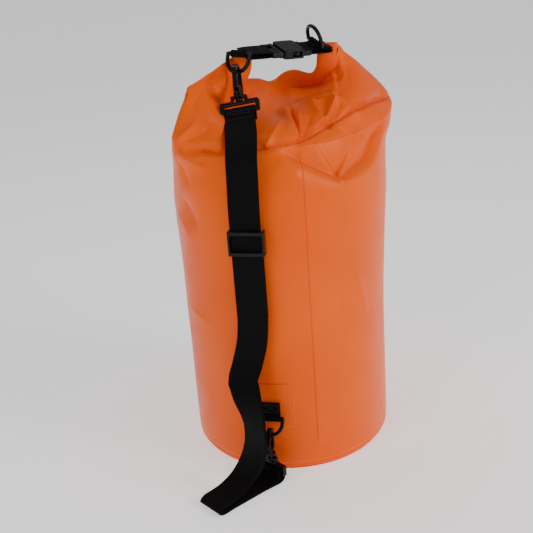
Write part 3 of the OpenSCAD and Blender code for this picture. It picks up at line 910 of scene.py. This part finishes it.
def one_stitch(a, b, radius, base):
    """Corners and faces of one stitch from a to b, the first of whose corners is number base."""
    n = STITCH_SIDES
    side = unit(np.cross(unit(b - a), STITCH_ASIDE))
    up = np.cross(unit(b - a), side)
    turns = np.linspace(0, 2 * math.pi, n, endpoint=False)
    verts = [a + (b - a) * t + radius * r * (side * math.cos(q) + up * math.sin(q))
             for t, r in STITCH_SHAPE for q in turns]
    last = len(verts) - n
    faces = grid_faces(len(STITCH_SHAPE), n) + [tuple(reversed(range(n))), tuple(range(last, last + n))]
    return verts, [tuple(base + corner for corner in face) for face in faces]


def stitches(name, lines, body, radius=0.32):
    """Short thread stitches pressed into the cloth along lines of points."""
    verts, faces = [], []
    for line in lines:
        line = np.array(line, float)
        along = distances(line)
        s = 0.0
        while s + STITCH <= along[-1]:
            a, b = (np.array([np.interp(t, along, line[:, k]) for k in range(3)]) for t in (s, s + STITCH))
            more_verts, more_faces = one_stitch(a, b, radius, len(verts))
            verts += more_verts
            faces += more_faces
            s += STITCH + STITCH_GAP
    mesh_piece(name, np.array(verts) * MM, faces, THREAD, body)


def across_strap(rows, s, half, lift):
    """A line of points across a strip, s mm along it."""
    return [place_on(rows, s, a, lift) for a in np.linspace(-half, half, 24)]


def box_stitch(rows, s0, s1, half, lift):
    """A sewn rectangle with its cross, s0 to s1 mm along a strip."""
    def line(*corners):
        return [place_on(rows, s_a + (s_b - s_a) * t, w_a + (w_b - w_a) * t, lift)
                for (s_a, w_a), (s_b, w_b) in zip(corners[:-1], corners[1:]) for t in np.linspace(0, 1, 12)]

    around = line((s0, -half), (s0, half), (s1, half), (s1, -half), (s0, -half))
    return [around, line((s0, -half), (s1, half)), line((s0, half), (s1, -half))]


make_strap()
SEAM_HALF = 16.5
stitches("upper_stitching", [across_strap(OUTER_ROWS, s, SEAM_HALF, 0.78) for s in (27, 30.5, 37.5)], "root")
stitches("sewn_end_stitching", [across_strap(SEWN_ROWS, s, SEAM_HALF, 0.8) for s in (6, 9, 20)], "slider")


# ---------- closure webbing ----------

CLOSURE_PLACE = np.array([14, -14.5, 526])
CLOSURE_START = -13
# The closure's frame leans towards the front, falls towards the socket and is turned a little
CLOSURE_LEAN, CLOSURE_FALL, CLOSURE_TURN = 16, 3.7, -2
CLOSURE_WIDTH, NARROW_WIDTH = 25, 20
# Thickness of the keeper's and the lower tab's webbing
THIN = 1.4
# The middle of the webbing round a ring's bar, off the bar's middle
LOOP_R = 3.7


def closure_dir(d):
    """A direction of the closure's own frame in the bag's frame."""
    return rot(rot(rot(d, "X", CLOSURE_LEAN), "Y", CLOSURE_FALL), "Z", CLOSURE_TURN)


def closure(p):
    """A point of the closure's own frame in the bag's frame."""
    return CLOSURE_PLACE + closure_dir(np.array(p, float) + [CLOSURE_START, 0, 0])


def closure_rows(profile):
    """Rows of webbing along the closure, from places [along, up] in its own frame."""
    wide = closure_dir([0, 1, 0])
    return smooth_rows([[*closure([x, 0, z]), *wide] for x, z in profile], 8)


# Webbing folded round the plug's bar, from its lower layer to its upper one
PLUG_SIDE = [(-47, -2.6), (-40, -3.0), (-30, -3.1), (-20, -3.1), (-15, -2.9), (-10.6, -2.5), (-8.7, 0),
             (-10.6, 2.5), (-15, 2.9), (-20, 3.1), (-30, 3.1), (-40, 3.0), (-49, 2.2)]
# Webbing folded at its right end and round the socket's bar
SOCKET_SIDE = [(66, 1.2), (74, 1.1), (76.6, 0), (76.2, -1.8), (73, -2.8), (62, -3.0), (50, -3.0), (43, -2.9),
               (39.6, -2.6), (35, 0), (39.6, 2.6), (43, 2.9), (50, 3.0), (62, 3.0), (73, 2.9), (76.5, 2.7)]
# The keeper that arches over the spare ring's bar
KEEPER = [(48.5, 4.2), (51.5, 4.6), (53.6, 6.0), (55.2, 9.4), (57, 10.2), (58.8, 9.4), (60.4, 6.0),
          (62.5, 4.6), (65.5, 4.2)]


def ring_loop_rows():
    """Webbing round the bar of the ring that carries the strap."""
    wide = rot([1, 0, 0], "Z", RING_TURN)
    rows = []
    for a in np.radians(range(-60, 301, 40)):
        out = rot([0, LOOP_R * math.cos(a), LOOP_R * math.sin(a)], "Z", RING_TURN)
        rows.append([*(RING_BAR + out), *wide])
    return smooth_rows(rows, 6)


def make_closure_webbing():
    """Webbing on both sides of the buckle, the loop round the strap's ring and the spare ring's keeper."""
    wide = strap_section(CLOSURE_WIDTH, STRAP_THICK)
    narrow = strap_section(NARROW_WIDTH, STRAP_THICK)
    thin = strap_section(NARROW_WIDTH, THIN)
    plug_side = sweep("closure_webbing_plug_side", closure_rows(PLUG_SIDE), wide, NARROW, "root")
    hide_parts("closure_webbing_left")
    loop = sweep("closure_webbing_ring_loop", ring_loop_rows(), narrow, NARROW, "root")
    socket_side = sweep("closure_webbing_socket_side", closure_rows(SOCKET_SIDE), wide, NARROW, "root")
    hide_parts("closure_webbing_right")
    keeper = sweep("spare_ring_keeper", closure_rows(KEEPER), thin, NARROW, "root")


def make_closure_stitching():
    """Rows of stitches across the webbing on both sides of the buckle."""
    lines = [[closure([x, y, lift]) for y in np.linspace(-10.5, 10.5, 12)]
             for x, lift in ((-22, 4.1), (-25, 4.1), (-38, 4.1), (-41, 4.1), (69, 4.0), (71.5, 4.0))]
    stitches("closure_stitching", lines, "root", radius=0.35)


make_closure_webbing()
make_closure_stitching()


# ---------- moulded pieces, rounded off ----------

BODY_OF = {node: body for body, nodes in frame["record"]["behaviour"]["bodies"].items() for node in nodes}
VOXEL = 0.45
# Smoothing passes that round off the edges, and those of the slider, whose edges are rounder
EASE, SLIDER_EASE = 6, 26


def moulded(name, node, material, ease):
    """A moulded piece: its node's own solid with every edge rounded off."""
    source = frame["nodes"][node]
    piece = bpy.data.objects.new(name, source.data.copy())
    piece.matrix_world = source.matrix_world.copy()
    scene.collection.objects.link(piece)
    bpy.context.view_layer.objects.active = piece
    remesh = piece.modifiers.new("remesh", "REMESH")
    remesh.mode = "VOXEL"
    remesh.voxel_size = VOXEL * MM
    soft = piece.modifiers.new("ease", "SMOOTH")
    soft.factor = 0.5
    soft.iterations = ease
    dep = bpy.context.evaluated_depsgraph_get()
    mesh = bpy.data.meshes.new_from_object(piece.evaluated_get(dep))
    piece.modifiers.clear()
    piece.data = mesh
    mesh.materials.clear()
    mesh.materials.append(material)
    mesh.polygons.foreach_set("use_smooth", [True] * len(mesh.polygons))
    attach(piece, BODY_OF[node])
    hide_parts(node)


for name, node, material, slot in (
        ("buckle_socket_body", "buckle_socket", BUCKLE, "buckle_plastic"),
        ("buckle_plug_body", "buckle_plug", BUCKLE, "buckle_plastic"),
        ("latch_front", "latch_arm_front", BUCKLE, "buckle_plastic"),
        ("latch_back", "latch_arm_back", BUCKLE, "buckle_plastic"),
        ("d_ring_strap", "strap_ring", RING, "ring_plastic"),
        ("d_ring_spare", "spare_ring", RING, "ring_plastic"),
        ("d_ring_lower", "lower_ring", RING, "ring_plastic"),
        ("hook_upper", "upper_hook", HOOK, "hook_plastic"),
        ("gate_upper", "upper_gate", HOOK, "hook_plastic"),
        ("hook_eye_upper", "upper_swivel_eye", HOOK, "hook_plastic"),
        ("hook_lower", "lower_hook", HOOK, "hook_plastic"),
        ("gate_lower", "lower_gate", HOOK, "hook_plastic"),
        ("hook_eye_lower", "lower_swivel_eye", HOOK, "hook_plastic"),
        ("slider_frame", "slider", RING, "ring_plastic")):
    moulded(name, node, material, SLIDER_EASE if node == "slider" else EASE)


# ---------- patch and lower tab ----------

PATCH_HEIGHT = 98
PATCH_HALF_W, PATCH_HALF_H, PATCH_CORNER = 30, 32, 9
# Radius of its underside, its thickness, the thickness at its rim and the depth of its weld groove
PATCH_R, PATCH_THICK, PATCH_RIM, PATCH_GROOVE = 135.35, 0.75, 0.35, 0.28
TUBE_R = 135


def cornered(x, z):
    """A point of the patch, drawn in where its corners are round."""
    bx, bz = abs(x) - (PATCH_HALF_W - PATCH_CORNER), abs(z) - (PATCH_HALF_H - PATCH_CORNER)
    if bx <= 0 or bz <= 0:
        return x, z
    share = max(bx, bz) / math.hypot(bx, bz)
    return (math.copysign(PATCH_HALF_W - PATCH_CORNER + bx * share, x),
            math.copysign(PATCH_HALF_H - PATCH_CORNER + bz * share, z))


def patch_point(u, v, layer):
    """A point of the patch's underside (layer 0) or face (layer 1), from places in it between -1 and 1."""
    x, z = cornered(u * PATCH_HALF_W, v * PATCH_HALF_H)
    edge = max(abs(u), abs(v))
    r = PATCH_R + (PATCH_THICK if edge < 0.985 else PATCH_RIM) * layer
    if layer and 0.87 < edge < 0.93:
        r -= PATCH_GROOVE
    a = math.radians(-90) + x / TUBE_R
    return turn_z([r * math.cos(a), r * math.sin(a), PATCH_HEIGHT + z], STRAP_TURN)


def make_patch():
    """A welded patch of the bag's fabric with rounded corners and a pressed rim, bent round the tube."""
    n, m = 48, 44
    wide, size = n + 1, (n + 1) * (m + 1)
    verts = [patch_point(2 * k / n - 1, 2 * i / m - 1, layer)
             for layer in (0, 1) for i in range(m + 1) for k in range(wide)]
    faces = []
    for layer in (0, 1):
        for i in range(m):
            for k in range(n):
                a = layer * size + i * wide + k
                quad = (a, a + 1, a + wide + 1, a + wide)
                faces.append(quad if layer else quad[::-1])
    rim = list(range(wide)) + [i * wide + n for i in range(1, m + 1)]
    rim += [m * wide + k for k in range(n - 1, -1, -1)] + [i * wide for i in range(m - 1, 0, -1)]
    for a, b in zip(rim, rim[1:] + rim[:1]):
        faces.append((a, b, b + size, a + size))
    piece = mesh_piece("welded_patch", np.array(verts) * MM, faces, ORANGE, "root")
    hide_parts("patch")


def make_tab():
    """The webbing tab sewn to the patch, folded round the lower ring's bar."""
    _, bar_y, bar_z = LOWER_BAR
    profile = [(-137.6, 104), (-137.7, 96), (-138.2, 91), (-138.6, 86)]
    profile += [(bar_y + LOOP_R * math.cos(a), bar_z + LOOP_R * math.sin(a))
                for a in np.radians(range(-20, -221, -40))]
    profile += [(-141.4, 89.5), (-140.2, 93), (-139.6, 97), (-139.5, 104)]
    rows = turn_rows(smooth_rows([[0, y, z, 1, 0, 0] for y, z in profile], 6), STRAP_TURN)
    piece = sweep("lower_tab_webbing", rows, strap_section(CLOSURE_WIDTH, THIN), NARROW, "root")
    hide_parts("lower_tab")
    total = length_of(rows) / MM
    stitches("lower_tab_stitching", box_stitch(rows, total - 12.5, total - 1.5, 10, -0.85), "root")


make_patch()
make_tab()


# ---------- light and floor ----------

FLOOR_HALF = 9
FLOOR_GLOW, SKY_GLOW = 0.58, 0.3
LIT_PLACE = Vector((0, 0, 0.3))


def make_floor():
    """White paper, which glows a little."""
    mat, _, shader = new_material("paper")
    shader["Base Color"].default_value = grey(0.95)
    shader["Roughness"].default_value = 0.95
    shader["Specular IOR Level"].default_value = 0.1
    shader["Emission Color"].default_value = grey(1)
    shader["Emission Strength"].default_value = FLOOR_GLOW
    h = FLOOR_HALF
    mesh = bpy.data.meshes.new("floor")
    mesh.from_pydata([(-h, -h, 0), (h, -h, 0), (h, h, 0), (-h, h, 0)], [], [(0, 1, 2, 3)])
    mesh.materials.append(mat)
    floor = bpy.data.objects.new("floor", mesh)
    scene.collection.objects.link(floor)


def make_sky():
    world = bpy.data.worlds.new("studio")
    scene.world = world
    world.use_nodes = True
    back = world.node_tree.nodes["Background"]
    back.inputs["Color"].default_value = grey(1)
    back.inputs["Strength"].default_value = SKY_GLOW


def make_light(name, at, size, power):
    """A square light turned towards the bag."""
    light = bpy.data.lights.new(name, "AREA")
    light.shape = "RECTANGLE"
    light.size = size
    light.size_y = size
    light.energy = power
    lamp = bpy.data.objects.new(name, light)
    scene.collection.objects.link(lamp)
    lamp.location = at
    lamp.rotation_euler = (LIT_PLACE - Vector(at)).to_track_quat("-Z", "Y").to_euler()


make_floor()
make_sky()
make_light("key", (1.0, -1.75, 1.2), 0.75, 25)
make_light("fill", (-1.7, -0.5, 1.1), 0.8, 9)
make_light("top", (0.1, 0.7, 2.0), 1.0, 6)
